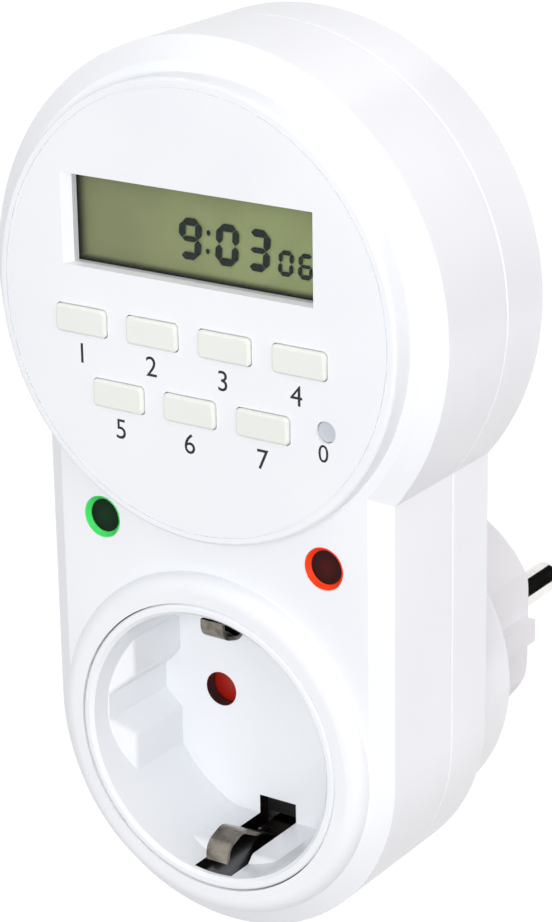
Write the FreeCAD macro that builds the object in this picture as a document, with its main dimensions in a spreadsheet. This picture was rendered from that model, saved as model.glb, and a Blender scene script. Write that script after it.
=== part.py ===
import FreeCAD, Part
import math
import os
import re

# Plug in timer switch: a mains socket outlet with a digital week timer in its head.
# The frame: +Z up, the face with the buttons looks along -Y, and the plug pins point along +Y.
# The origin is the middle of the plug's pin face. The socket and the plug share that axis.

doc = FreeCAD.newDocument("plug_in_timer_switch")
sheet = doc.addObject("Spreadsheet::Sheet", "sizes")

driving_sizes = [
    # the case
    ("axis_spacing", 62.5), ("head_radius", 36.0), ("foot_radius", 28.0), ("wall", 2.0),
    ("front_depth", 16.6), ("rear_depth", 10.7), ("front_bevel", 3.0), ("front_bevel_depth", 1.9),
    ("joint_bevel", 0.25), ("rear_bevel", 1.4), ("boss_height", 11.9), ("boss_radius", 24.9),
    ("boss_draft", 1.1), ("boss_rounding", 1.5), ("collar_rise", 2.4), ("collar_radius", 25.1),
    ("collar_rounding", 2.3), ("fit_gap", 0.15), ("slide_gap", 0.3),
    # the case screws
    ("screw_inset", 4.817), ("waist_screw_height", 22.0), ("screw_post_radius", 3.4),
    ("screw_boss_radius", 2.8), ("screw_head_radius", 2.6), ("screw_head_height", 2.0),
    ("screw_radius", 1.4), ("screw_length", 12.0), ("screw_sink", 6.0),
    # the display panel
    ("panel_margin", 4.5), ("panel_rise", 3.5), ("panel_plate", 2.0), ("panel_edge_round", 0.5),
    ("panel_lap", 2.0), ("spigot_wall", 0.9), ("spigot_length", 1.6), ("groove_inset", 1.25),
    ("groove_width", 0.3), ("groove_depth", 0.25),
    ("window_left_share", 0.6127), ("window_right_share", 0.6048), ("window_bottom_share", 0.1413),
    ("window_top_share", 0.5222),
    ("window_bevel", 0.25), ("window_left_bevel", 1.2), ("window_bevel_depth", 1.0),
    ("lens_flange", 1.0), ("lens_flange_thickness", 0.6),
    # the liquid crystal cell and its holder
    ("cell_thickness", 2.6), ("cell_margin", 1.6), ("holder_wall", 0.9), ("zebra_height", 2.0),
    # the buttons
    ("button_pitch_share", 0.36825), ("row_shift_share", 0.0079), ("upper_row_share", 0.10476),
    ("lower_row_share", 0.4127),
    ("button_width", 8.25), ("button_height", 3.85), ("button_gap", 0.1), ("button_rise", 0.6),
    ("button_corner", 0.7),
    ("button_edge_round", 0.45), ("button_flange", 0.7), ("button_flange_thickness", 0.9),
    ("button_stem_radius", 1.4), ("button_travel", 0.6),
    ("reset_across_share", 0.6667), ("reset_drop_share", 0.3841), ("reset_hole_radius", 1.5),
    ("reset_radius", 1.4), ("reset_sink", 0.5), ("reset_travel", 0.4), ("reset_switch_width", 4.4), ("reset_switch_height", 2.6),
    ("mat_thickness", 0.8), ("dome_radius", 2.6), ("dome_height", 2.2),
    # the boards
    ("control_board_depth", 6.0), ("board_thickness", 1.6), ("board_inset", 1.9), ("board_gap", 2.4),
    ("board_side_gap", 2.5), ("board_foot_margin", 3.2), ("panel_post_radius", 2.0),
    ("post_inset", 4.8), ("side_post_drop", -4.0), ("board_screw_radius", 0.95),
    ("board_screw_head_radius", 1.8), ("board_screw_head", 1.2), ("board_screw_length", 5.5),
    ("pillar_across_share", 0.5435), ("pillar_up_share", 0.6884), ("pillar_radius", 2.2),
    ("stand_off_across", 10.2), ("stand_off_height", 28.8), ("stand_off_radius", 2.1),
    # what the boards carry
    ("relay_width", 19.0), ("relay_height", 15.4), ("relay_depth", 14.8), ("relay_bottom", 0.5),
    ("film_width", 8.5), ("film_height", 18.0), ("film_depth", 14.0), ("film_left", 12.0),
    ("film_bottom", -11.0), ("can_radius", 4.0), ("can_depth", 12.0), ("can_across", -16.0),
    ("can_up", 8.0), ("backup_radius", 7.75), ("backup_depth", 6.0), ("backup_across", -12.0),
    ("backup_up", -12.0), ("tab_thickness", 0.3), ("tab_width", 4.0), ("varistor_radius", 4.5),
    ("varistor_thickness", 3.6), ("varistor_across", 4.5), ("varistor_up", -7.5),
    ("fuse_radius", 1.7), ("fuse_length", 9.0), ("fuse_up", -17.0), ("diode_radius", 1.25),
    ("diode_length", 4.6), ("diode_pitch", 3.6), ("diode_up", -21.6), ("chip_radius", 5.0),
    ("chip_height", 1.1), ("chip_up", -8.0), ("crystal_radius", 1.0), ("crystal_length", 6.0),
    ("crystal_up", -17.0), ("header_width", 14.0), ("header_height", 2.5), ("header_up", 11.0),
    # the indicators
    ("indicator_across", 18.2), ("indicator_height", 29.8), ("indicator_radius", 2.95),
    ("indicator_rise", 0.05), ("indicator_rim", 0.1), ("indicator_floor_radius", 2.4),
    ("indicator_well", 0.75),
    ("indicator_flange", 0.8), ("lamp_radius", 1.5), ("lamp_collar", 0.4),
    # the socket
    ("insert_wall", 1.55), ("recess_radius", 19.5), ("recess_depth", 17.5), ("floor_thickness", 2.0),
    ("insert_flange", 1.8), ("insert_lip_round", 0.5), ("side_flat", 16.6), ("side_flat_start", 3.7),
    ("lead_in", 2.7), ("recess_rounding", 1.0), ("clip_flat", 18.1),
    ("notch_outer", 1.9), ("notch_inner", 4.5), ("notch_depth", 19.3),
    ("slot_half_width", 3.1), ("slot_inner", 15.2), ("slot_outer", 20.3), ("slot_start", 1.1),
    ("pin_spacing", 19.0), ("pin_hole_radius", 2.6),
    # the shutter
    ("shutter_thickness", 1.3), ("shutter_half_height", 3.0), ("shutter_length", 27.6),
    ("shutter_hub_radius", 3.4), ("pivot_radius", 1.5), ("pivot_gap", 0.05), ("shutter_room", 1.9),
    ("shutter_room_radius", 14.3), ("spring_radius", 2.6), ("spring_wire", 0.5), ("spring_turns", 3.0),
    ("spring_pitch", 0.65), ("spring_well_radius", 3.4), ("spring_well", 2.4),
    # the contact carrier and its contacts
    ("carrier_inset", 2.15), ("carrier_depth", 15.1), ("chamber_inner", 5.4), ("chamber_outer", 13.4),
    ("chamber_half_height", 3.35), ("leaf_gap", 2.5), ("leaf_thickness", 0.7), ("contact_length", 11.5),
    ("contact_lip", 6.4), ("tail_length", 2.6), ("tail_half_width", 1.5),
    # the earth straps
    ("strap_width", 5.0), ("strap_thickness", 0.6), ("strap_bend", 0.9), ("strap_leg", 19.5),
    ("clip_width", 3.6), ("clip_bend", 2.0), ("clip_nose", 2.4), ("clip_nose_height", 18.3),
    ("clip_front_height", 16.0), ("clip_top", 6.1), ("clip_height", 14.8), ("clip_start", 14.4),
    ("rivet_radius", 1.2),
    # the plug
    ("plug_length", 19.8), ("plug_radius", 18.5), ("plug_edge_round", 1.5), ("plug_end_wall", 5.0),
    ("plug_wall", 3.3), ("plug_flange_width", 3.0), ("plug_flange", 2.0),
    ("plug_flat", 16.3), ("plug_flat_half_height", 10.0), ("plug_rib_half_height", 1.75),
    ("plug_rib_reach", 18.4), ("groove_half_width", 3.0), ("groove_floor", 16.2),
    ("pin_radius", 2.4), ("pin_length", 19.0), ("pin_tip_round", 1.6), ("pin_tail", 9.4),
    ("pin_tail_radius", 2.0), ("pin_boss_radius", 4.2), ("pin_boss", 4.0), ("plug_strap_front", 1.6), ("plug_strap_dip", 1.3),
    ("plug_strap_slope", 3.0), ("plug_strap_flat", 5.0), ("plug_strap_lip", 0.35),
    # the leads
    ("mains_lead_radius", 1.0), ("mains_lead_across", 6.0), ("mains_lead_reach", 12.0),
    ("contact_lead_radius", 0.8), ("lead_bend", 2.2), ("lead_straight", 4.0), ("lead_rise", 20.2), ("contact_lead_rise", 16.0),
    ("lead_turn", 38.5), ("lead_end_height", 33.0), ("lead_end_across", 13.2),
]

for row, (name, number) in enumerate(driving_sizes, start=1):
    sheet.set(f"A{row}", name)
    sheet.set(f"B{row}", str(number))
    sheet.setAlias(f"B{row}", name)
doc.recompute()

# Planes and places that several pieces share, worked out from the sizes above.
shared_places = [
    ("panel_radius", "head_radius - panel_margin"),
    ("opening_radius", "panel_radius - panel_lap"),
    ("groove_radius", "panel_radius - groove_inset"),
    ("window_left", "-panel_radius * window_left_share"),
    ("window_right", "panel_radius * window_right_share"),
    ("window_bottom", "panel_radius * window_bottom_share"),
    ("window_top", "panel_radius * window_top_share"),
    ("button_pitch", "panel_radius * button_pitch_share"),
    ("button_row_shift", "-panel_radius * row_shift_share"),
    ("upper_row", "-panel_radius * upper_row_share"),
    ("lower_row", "-panel_radius * lower_row_share"),
    ("reset_across", "panel_radius * reset_across_share"),
    ("reset_drop", "-panel_radius * reset_drop_share"),
    ("board_radius", "opening_radius - board_inset"),
    ("board_half_width", "foot_radius - wall - board_side_gap"),
    ("board_foot", "stand_off_height - board_foot_margin"),
    ("panel_post_reach", "opening_radius - post_inset"),
    ("pillar_across", "board_radius * pillar_across_share"),
    ("pillar_up", "board_radius * pillar_up_share"),
    ("screw_offset", "(head_radius - screw_inset) * sqrt(0.5)"),
    ("insert_radius", "recess_radius + insert_wall"),
    ("carrier_radius", "insert_radius - carrier_inset"),
    ("plug_hollow_radius", "plug_radius - plug_wall"),
    ("plug_flange_radius", "plug_radius + plug_flange_width"),
    ("boss_face", "-plug_length"),
    ("case_back", "boss_face - boss_height"),
    ("parting", "case_back - rear_depth"),
    ("front_face", "parting - front_depth"),
    ("front_inside", "front_face + wall"),
    ("back_inside", "case_back - wall"),
    ("panel_face", "front_face - panel_rise"),
    ("plate_back", "panel_face + panel_plate"),
    ("collar_face", "front_face - collar_rise"),
    ("cell_front", "plate_back + lens_flange_thickness"),
    ("control_front", "plate_back + control_board_depth"),
    ("control_back", "control_front + board_thickness"),
    ("power_front", "control_back + board_gap"),
    ("power_back", "power_front + board_thickness"),
    ("recess_floor", "collar_face + recess_depth"),
    ("floor_back", "recess_floor + floor_thickness"),
    ("carrier_back", "floor_back + carrier_depth"),
    ("flange_front", "boss_face - wall - plug_flange"),
    ("pin_across", "pin_spacing / 2"),
    ("mat_top", "control_front - mat_thickness"),
    ("dome_top", "mat_top - dome_height"),
]

places = doc.addObject("App::FeaturePython", "places")
sheet_names = {name for name, number in driving_sizes}


def bound(text):
    """Put the owner's name before each size or place in an expression."""
    def owner(match):
        word = match.group(1)
        return ("sizes." if word in sheet_names else "places.") + word
    return re.sub(r"\b([a-z][a-z_0-9]*)\b(?!\()", owner, text)


for name, text in shared_places:
    places.addProperty("App::PropertyFloat", name)
    own = re.sub(r"\b([a-z][a-z_0-9]*)\b(?!\()",
                 lambda match: "sizes." + match.group(1) if match.group(1) in sheet_names else match.group(1), text)
    places.setExpression(name, own)
doc.recompute()


def num(name):
    """The present value of a size or a place."""
    owner = sheet if name in sheet_names else places
    return float(getattr(owner, name))


# Small tools that make bound primitives and join them

turned = {
    "X": FreeCAD.Rotation(FreeCAD.Vector(0, 1, 0), 90),
    "Y": FreeCAD.Rotation(FreeCAD.Vector(1, 0, 0), -90),
    "Z": FreeCAD.Rotation(),
}


def put(item, at):
    """Bind the three coordinates of an object's place."""
    for letter, text in zip("xyz", at):
        item.setExpression(f"Placement.Base.{letter}", bound(text))


def block(name, low, high):
    """A box from its lowest to its highest corner."""
    item = doc.addObject("Part::Box", name)
    for side, near, far in zip(("Length", "Width", "Height"), low, high):
        item.setExpression(side, bound(f"({far}) - ({near})"))
    put(item, low)
    return item


def rod(name, radius, start, end, across="0", up="0", along="Y"):
    """A cylinder along one axis, from start to end. across and up place its centre line."""
    item = doc.addObject("Part::Cylinder", name)
    item.setExpression("Radius", bound(radius))
    item.setExpression("Height", bound(f"({end}) - ({start})"))
    item.Placement = FreeCAD.Placement(FreeCAD.Vector(), turned[along])
    at = {"X": (start, across, up), "Y": (across, start, up), "Z": (across, up, start)}[along]
    put(item, at)
    return item


def cone(name, first_radius, last_radius, start, end, across="0", up="0"):
    """A cone frustum along Y."""
    item = doc.addObject("Part::Cone", name)
    item.setExpression("Radius1", bound(first_radius))
    item.setExpression("Radius2", bound(last_radius))
    item.setExpression("Height", bound(f"({end}) - ({start})"))
    item.Placement = FreeCAD.Placement(FreeCAD.Vector(), turned["Y"])
    put(item, (across, start, up))
    return item


def wedge(name, near, far, start, end):
    """A frustum along Y between two upright rectangles, each (x low, x high, z low, z high)."""
    item = doc.addObject("Part::Wedge", name)
    fields = ("Xmin", "Xmax", "Zmin", "Zmax"), ("X2min", "X2max", "Z2min", "Z2max")
    # The lower bounds go last, because a wedge refuses a lower bound above its upper one.
    for names, texts in zip(fields, (near, far)):
        for field, text in zip(names, texts):
            item.setExpression(field, bound(text))
    item.setExpression("Ymin", bound(start))
    item.setExpression("Ymax", bound(end))
    return item


def fuse(name, parts):
    item = doc.addObject("Part::MultiFuse", name)
    item.Shapes = parts
    item.Refine = True
    return item


def cut(name, base, tools):
    item = doc.addObject("Part::Cut", name)
    item.Base = base
    item.Tool = tools[0] if len(tools) == 1 else fuse(name + "_tools", tools)
    item.Refine = True
    return item


def common(name, first, second):
    item = doc.addObject("Part::MultiCommon", name)
    item.Shapes = [first, second]
    return item


def rounded(name, base, radii):
    """Round edges of an object. radii maps a test of an edge to the name of its radius."""
    doc.recompute()
    item = doc.addObject("Part::Fillet", name)
    item.Base = base
    edges = []
    for index, edge in enumerate(base.Shape.Edges, start=1):
        for test, radius in radii:
            if test(edge):
                edges.append((index, num(radius), num(radius)))
                break
    item.Edges = edges
    return item


def runs_along_y(edge):
    """True for a straight edge that runs in depth."""
    box = edge.BoundBox
    return box.YLength > 1e-6 and box.XLength < 1e-6 and box.ZLength < 1e-6


def lies_at(depth):
    """A test for edges that lie in the plane at one depth."""
    def test(edge):
        box = edge.BoundBox
        return abs(box.YMin - depth) < 1e-4 and abs(box.YMax - depth) < 1e-4
    return test


def path_of(points, radii):
    """Straight runs through the points, joined by arcs that touch both runs, one radius a corner."""
    edges = []
    start = points[0]
    for before, corner, after, radius in zip(points, points[1:], points[2:], radii):
        inward = (before - corner).normalize()
        outward = (after - corner).normalize()
        half = inward.getAngle(outward) / 2
        reach = radius / math.tan(half)
        bisector = (inward + outward).normalize()
        entry = corner + inward * reach
        leave = corner + outward * reach
        middle = corner + bisector * (radius / math.sin(half) - radius)
        edges.append(Part.LineSegment(start, entry).toShape())
        edges.append(Part.Arc(entry, middle, leave).toShape())
        start = leave
    edges.append(Part.LineSegment(start, points[-1]).toShape())
    return Part.Wire(edges)


def feature(name, shape, place=FreeCAD.Placement()):
    item = doc.addObject("Part::Feature", name)
    item.Shape = shape
    item.Placement = place
    return item


def lead(name, points, radius, bend):
    """A round wire along a path."""
    path = path_of(points, [bend] * (len(points) - 2))
    ring = Part.Wire(Part.Circle(points[0], points[1] - points[0], radius).toShape())
    return feature(name, path.makePipeShell([ring], True, False))


def strip(points, width, thickness, bends):
    """Sheet metal bent along a path in the plane square to X."""
    path = path_of(points, bends)
    forward = (points[1] - points[0]).normalize()
    side = FreeCAD.Vector(width / 2, 0, 0)
    normal = forward.cross(FreeCAD.Vector(1, 0, 0)) * (thickness / 2)
    corners = [points[0] + side + normal, points[0] - side + normal,
               points[0] - side - normal, points[0] + side - normal]
    outline = Part.makePolygon(corners + corners[:1])
    return path.makePipeShell([outline], True, False)


nodes = []


def node(name, item):
    """Name a finished piece. Its name is that of its file."""
    item.Label = name
    nodes.append(item)
    return item


# Case shells

def case_solid(name, start, end, inset, front_bevel, front_drop, back_bevel, back_drop):
    """Round head, straight waist and round foot as one solid, bevelled at both ends."""
    parts = []
    first = f"{start} + {front_drop}"
    last = f"{end} - {back_drop}"
    for label, radius, up in (("head", "head_radius", "axis_spacing"), ("foot", "foot_radius", "0")):
        parts.append(rod(f"{name}_{label}", f"{radius} - {inset}", first, last, up=up))
        if front_drop != "0":
            parts.append(cone(f"{name}_{label}_front", f"{radius} - {inset} - {front_bevel}",
                              f"{radius} - {inset}", start, first, up=up))
        if back_drop != "0":
            parts.append(cone(f"{name}_{label}_back", f"{radius} - {inset}",
                              f"{radius} - {inset} - {back_bevel}", last, end, up=up))
    half = f"(foot_radius - {inset})"
    parts.append(block(f"{name}_waist", (f"-{half}", first, "0"), (half, last, "axis_spacing")))
    full = (f"-{half}", half, "0", "axis_spacing")
    if front_drop != "0":
        small = (f"-({half} - {front_bevel})", f"{half} - {front_bevel}", "0", "axis_spacing")
        parts.append(wedge(f"{name}_waist_front", small, full, start, first))
    if back_drop != "0":
        small = (f"-({half} - {back_bevel})", f"{half} - {back_bevel}", "0", "axis_spacing")
        parts.append(wedge(f"{name}_waist_back", full, small, last, end))
    return fuse(name, parts)


screw_places = [
    (f"{sign}screw_offset", up)
    for up in ("axis_spacing + screw_offset", "waist_screw_height")
    for sign in ("", "-")
]


def front_shell():
    outer = case_solid("front_outline", "front_face", "parting", "0",
                       "front_bevel", "front_bevel_depth", "joint_bevel", "joint_bevel")
    collar = rod("front_collar", "collar_radius", "collar_face", "front_face + joint_bevel")
    collar = rounded("front_collar_rounded", collar, [(lies_at(num("collar_face")), "collar_rounding")])
    cavity = case_solid("front_cavity", "front_inside", "parting + wall", "wall", "0", "0", "0", "0")
    opening = rod("panel_opening", "opening_radius", "front_face - wall", "front_inside + wall",
                  up="axis_spacing")
    bore = rod("insert_bore", "insert_radius + fit_gap", "collar_face - wall", "front_inside + wall")
    holes = []
    for sign in ("", "-"):
        holes.append(rod("indicator_hole" + sign.replace("-", "_left"), "indicator_radius + fit_gap / 2",
                         "front_face - wall", "front_inside + wall",
                         across=sign + "indicator_across", up="indicator_height"))
    shell = cut("front_shell_hollow", fuse("front_shell_solid", [outer, collar]),
                [cavity, opening, bore] + holes)
    bosses = []
    pilots = []
    for count, (across, up) in enumerate(screw_places, start=1):
        bosses.append(rod(f"screw_boss_{count}", "screw_boss_radius", "front_inside - joint_bevel",
                          "parting", across=across, up=up))
        pilots.append(rod(f"screw_pilot_{count}", "screw_radius + pivot_gap", "parting - screw_length",
                          "parting + wall", across=across, up=up))
    for count, sign in enumerate(("", "-"), start=1):
        across = sign + "stand_off_across"
        bosses.append(rod(f"stand_off_{count}", "stand_off_radius", "front_inside - joint_bevel",
                          "power_front", across=across, up="stand_off_height"))
        pilots.append(rod(f"stand_off_pilot_{count}", "board_screw_radius + pivot_gap",
                          "power_front - board_screw_length", "power_front + wall",
                          across=across, up="stand_off_height"))
    whole = cut("front_shell", fuse("front_shell_bossed", [shell] + bosses), pilots)
    return node("front_shell", whole)


def rear_shell():
    outer = case_solid("rear_outline", "parting", "case_back", "0",
                       "joint_bevel", "joint_bevel", "rear_bevel", "rear_bevel")
    boss = cone("rear_boss", "boss_radius + boss_draft", "boss_radius", "case_back - rear_bevel", "boss_face")
    boss = rounded("rear_boss_rounded", boss, [(lies_at(num("boss_face")), "boss_rounding")])
    cavity = case_solid("rear_cavity", "parting - wall", "back_inside", "wall", "0", "0", "0", "0")
    boss_room = rod("boss_room", "boss_radius - wall", "back_inside - wall", "boss_face - wall")
    plug_hole = rod("plug_hole", "plug_radius + fit_gap", "boss_face - 2 * wall", "boss_face + wall")
    shell = cut("rear_shell_hollow", fuse("rear_shell_solid", [outer, boss]), [cavity, boss_room, plug_hole])
    posts = []
    bores = []
    for count, (across, up) in enumerate(screw_places, start=1):
        posts.append(rod(f"screw_post_{count}", "screw_post_radius", "parting", "back_inside + joint_bevel",
                         across=across, up=up))
        bores.append(rod(f"screw_well_{count}", "screw_head_radius + fit_gap", "case_back - screw_sink",
                         "case_back + wall", across=across, up=up))
        bores.append(rod(f"screw_way_{count}", "screw_radius + fit_gap", "parting - wall",
                         "case_back", across=across, up=up))
    whole = cut("rear_shell", fuse("rear_shell_posted", [shell] + posts), bores)
    return node("rear_shell", whole)


def case_screws():
    screws = []
    for count, (across, up) in enumerate(screw_places, start=1):
        seat = "case_back - screw_sink"
        head = rod(f"screw_head_{count}", "screw_head_radius", seat, seat + " + screw_head_height",
                   across=across, up=up)
        shank = rod(f"screw_shank_{count}", "screw_radius", seat + " - screw_length", seat,
                    across=across, up=up)
        slots = []
        for turn, (long_way, short_way) in enumerate((("1.5", "0.3"), ("0.3", "1.5"))):
            slots.append(block(f"screw_slot_{count}_{turn}",
                               (f"{across} - {long_way}", seat + " + screw_head_height / 2",
                                f"{up} - {short_way}"),
                               (f"{across} + {long_way}", seat + " + screw_head_height * 2",
                                f"{up} + {short_way}")))
        screws.append(cut(f"screw_{count}", fuse(f"screw_blank_{count}", [head, shank]), slots))
    return node("case_screws", fuse("case_screws", screws))


# Display panel, its window and the buttons in it

def button_places():
    """Number, across and up of each button, seen from the front, from left to right and down."""
    upper = [(f"button_row_shift + button_pitch * ({count} - 1.5)", "upper_row") for count in range(4)]
    lower = [(f"button_row_shift + button_pitch * ({count} - 1)", "lower_row") for count in range(3)]
    return [(number, across, f"axis_spacing + {up}")
            for number, (across, up) in enumerate(upper + lower, start=1)]


post_places = [
    ("panel_post_reach", "axis_spacing + side_post_drop"),
    ("-panel_post_reach", "axis_spacing + side_post_drop"),
    ("0", "axis_spacing + panel_post_reach"),
    ("0", "axis_spacing - panel_post_reach"),
]


def panel_block(name, low_across, high_across, low_up, high_up, start, end):
    """A box placed by heights from the head's centre."""
    return block(name, (low_across, start, f"axis_spacing + {low_up}"),
                 (high_across, end, f"axis_spacing + {high_up}"))


def display_panel():
    disc = rod("panel_disc", "panel_radius", "panel_face", "front_face", up="axis_spacing")
    disc = rounded("panel_disc_rounded", disc, [(lies_at(num("panel_face")), "panel_edge_round")])
    room = rod("panel_room", "opening_radius - fit_gap - spigot_wall", "plate_back", "front_face + wall",
               up="axis_spacing")
    groove = cut("panel_groove",
                 rod("groove_outside", "groove_radius + groove_width / 2", "panel_face - wall",
                     "panel_face + groove_depth", up="axis_spacing"),
                 [rod("groove_inside", "groove_radius - groove_width / 2", "panel_face - 2 * wall",
                      "panel_face + wall", up="axis_spacing")])
    window = panel_block("window_straight", "window_left", "window_right", "window_bottom", "window_top",
                         "panel_face", "plate_back + wall")
    lean = "(1 + 1 / window_bevel_depth)"
    flare = wedge("window_flare",
                  (f"window_left - window_left_bevel * {lean}", f"window_right + window_bevel * {lean}",
                   f"axis_spacing + window_bottom - window_bevel * {lean}",
                   f"axis_spacing + window_top + window_bevel * {lean}"),
                  ("window_left", "window_right", "axis_spacing + window_bottom", "axis_spacing + window_top"),
                  "panel_face - 1", "panel_face + window_bevel_depth")
    holes = []
    for number, across, up in button_places():
        half_width = "(button_width / 2 + button_gap)"
        half_height = "(button_height / 2 + button_gap)"
        hole = block(f"button_hole_box_{number}",
                     (f"{across} - {half_width}", "panel_face - wall", f"{up} - {half_height}"),
                     (f"{across} + {half_width}", "plate_back + wall", f"{up} + {half_height}"))
        holes.append(rounded(f"button_hole_{number}", hole, [(runs_along_y, "button_corner")]))
    holes.append(rod("reset_hole", "reset_hole_radius", "panel_face - wall", "plate_back + wall",
                     across="reset_across", up="axis_spacing + reset_drop"))
    plate = cut("panel_plate_cut", disc, [room, groove, window, flare] + holes)
    spigot = cut("panel_spigot",
                 rod("spigot_outside", "opening_radius - fit_gap", "front_face - joint_bevel",
                     "front_face + spigot_length", up="axis_spacing"),
                 [rod("spigot_inside", "opening_radius - fit_gap - spigot_wall", "front_face - wall",
                      "front_face + 2 * spigot_length", up="axis_spacing")])
    posts = []
    pilots = []
    for count, (across, up) in enumerate(post_places, start=1):
        posts.append(rod(f"panel_post_{count}", "panel_post_radius", "plate_back - joint_bevel",
                         "control_front", across=across, up=up))
        pilots.append(rod(f"panel_pilot_{count}", "board_screw_radius + pivot_gap",
                          "control_front - board_screw_length + board_thickness", "control_front + wall",
                          across=across, up=up))
    whole = cut("display_panel", fuse("panel_posted", [plate, spigot] + posts), pilots)
    return node("display_panel", whole)


def display_lens():
    inner = panel_block("lens_pad", "window_left + fit_gap / 2", "window_right - fit_gap / 2",
                        "window_bottom + fit_gap / 2", "window_top - fit_gap / 2",
                        "panel_face + window_bevel_depth", "plate_back + lens_flange_thickness / 2")
    flange = panel_block("lens_flange_plate", "window_left - lens_flange", "window_right + lens_flange",
                         "window_bottom - lens_flange", "window_top + lens_flange",
                         "plate_back", "cell_front")
    return node("display_lens", fuse("display_lens", [inner, flange]))


def lcd_parts():
    low_across = "window_left - cell_margin"
    high_across = "window_right + cell_margin"
    low_up = "window_bottom - cell_margin"
    high_up = "window_top + lens_flange"
    cell = panel_block("lcd_panel", low_across, high_across, low_up, high_up,
                       "cell_front", "cell_front + cell_thickness")
    node("lcd_panel", cell)
    outside = panel_block("holder_outside", low_across + " - holder_wall", high_across + " + holder_wall",
                          low_up + " - holder_wall", high_up + " + holder_wall",
                          "plate_back", "control_front")
    inside = panel_block("holder_inside", low_across + " - fit_gap / 3", high_across + " + fit_gap / 3",
                         low_up + " - fit_gap / 3", high_up + " + fit_gap / 3",
                         "plate_back - wall", "control_front + wall")
    round_limit = rod("holder_limit", "opening_radius - spigot_wall - 3 * fit_gap", "plate_back",
                      "control_front", up="axis_spacing")
    top_post = rod("holder_post_room", "panel_post_radius + fit_gap", "plate_back - wall",
                   "control_front + wall", up="axis_spacing + panel_post_reach")
    frame = cut("holder_frame", outside, [inside, top_post])
    node("lcd_holder", common("lcd_holder", frame, round_limit))
    zebra = panel_block("zebra_strip", low_across + " + holder_wall", high_across + " - holder_wall",
                        low_up + " + fit_gap", low_up + " + fit_gap + zebra_height",
                        "cell_front + cell_thickness", "control_front")
    node("zebra_strip", zebra)


def buttons():
    for number, across, up in button_places():
        front = "panel_face - button_rise"
        seat = "plate_back + slide_gap"
        cap = block(f"button_cap_{number}",
                    (f"{across} - button_width / 2", front, f"{up} - button_height / 2"),
                    (f"{across} + button_width / 2", seat + " + button_flange_thickness / 2",
                     f"{up} + button_height / 2"))
        cap = rounded(f"button_cap_rounded_{number}", cap,
                      [(runs_along_y, "button_corner"),
                       (lies_at(num("panel_face") - num("button_rise")), "button_edge_round")])
        flange = block(f"button_flange_{number}",
                       (f"{across} - button_width / 2 - button_flange", seat,
                        f"{up} - button_height / 2 - button_flange"),
                       (f"{across} + button_width / 2 + button_flange", seat + " + button_flange_thickness",
                        f"{up} + button_height / 2 + button_flange"))
        stem = rod(f"button_stem_{number}", "button_stem_radius", seat,
                   "dome_top - button_travel - fit_gap / 2", across=across, up=up)
        node(f"button_{number}", fuse(f"button_{number}", [cap, flange, stem]))


def reset_button():
    up = "axis_spacing + reset_drop"
    seat = "plate_back + slide_gap"
    tip = rod("reset_tip", "reset_radius", "panel_face + reset_sink", seat + " + button_flange_thickness",
              across="reset_across", up=up)
    flange = rod("reset_flange", "reset_hole_radius + button_flange", seat, seat + " + button_flange_thickness",
                 across="reset_across", up=up)
    stem = rod("reset_stem", "reset_radius * 0.8", seat,
               "control_front - reset_switch_height - reset_travel - slide_gap",
               across="reset_across", up=up)
    node("reset_button", fuse("reset_button", [tip, flange, stem]))
    half = "reset_switch_width / 2"
    body = block("reset_switch_body",
                 (f"reset_across - {half}", "control_front - reset_switch_height + 0.6", f"{up} - {half}"),
                 (f"reset_across + {half}", "control_front", f"{up} + {half}"))
    nub = rod("reset_switch_nub", "reset_radius", "control_front - reset_switch_height",
              "control_front - reset_switch_height + 0.8", across="reset_across", up=up)
    node("reset_switch", fuse("reset_switch", [body, nub]))


def key_mat():
    sheet_part = panel_block("mat_sheet", "button_row_shift - 2 * button_pitch + 1.2",
                             "button_row_shift + 2 * button_pitch - 5.2",
                             "lower_row - 4", "upper_row + 3.6", "mat_top", "control_front")
    low_wing = panel_block("mat_wing_low", "button_row_shift + 2 * button_pitch - 5.3",
                           "button_row_shift + 2 * button_pitch - 1.6",
                           "upper_row - 3.4", "upper_row + 3.6", "mat_top", "control_front")
    limit = rod("mat_limit", "board_radius - 3 * fit_gap", "dome_top - wall", "control_front + wall",
                up="axis_spacing")
    domes = []
    hollows = []
    for number, across, up in button_places():
        domes.append(cone(f"dome_{number}", "dome_radius * 0.72", "dome_radius", "dome_top",
                          "mat_top + mat_thickness / 2", across=across, up=up))
        hollows.append(cone(f"dome_room_{number}", "dome_radius * 0.4", "dome_radius * 0.75",
                            "dome_top + mat_thickness", "control_front + wall", across=across, up=up))
    body = cut("mat_hollowed", fuse("mat_body", [sheet_part, low_wing] + domes), hollows)
    post_rooms = [rod(f"mat_post_room_{count}", "panel_post_radius + fit_gap", "dome_top - wall",
                      "control_front + wall", across=across, up=up)
                  for count, (across, up) in enumerate(post_places, start=1)]
    node("key_mat", cut("key_mat", common("mat_trimmed", body, limit), post_rooms))


# Boards and what they carry

def control_board():
    disc = rod("control_disc", "board_radius", "control_front", "control_back", up="axis_spacing")
    holes = [rod(f"control_hole_{count}", "board_screw_radius + fit_gap", "control_front - wall",
                 "control_back + wall", across=across, up=up)
             for count, (across, up) in enumerate(post_places, start=1)]
    node("control_board", cut("control_board", disc, holes))
    blob = rod("chip_blob", "chip_radius", "control_back", "control_back + chip_height",
               up="axis_spacing + chip_up")
    blob = rounded("controller_chip", blob,
                   [(lies_at(num("control_back") + num("chip_height")), "insert_lip_round")])
    node("controller_chip", blob)
    crystal = rod("crystal", "crystal_radius", "-crystal_length / 2", "crystal_length / 2",
                  across="control_back + crystal_radius", up="axis_spacing + crystal_up", along="X")
    node("crystal", crystal)
    header = panel_block("board_header", "-header_width / 2", "header_width / 2",
                         "header_up", "header_up + header_height", "control_back", "power_front")
    node("board_header", header)


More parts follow.
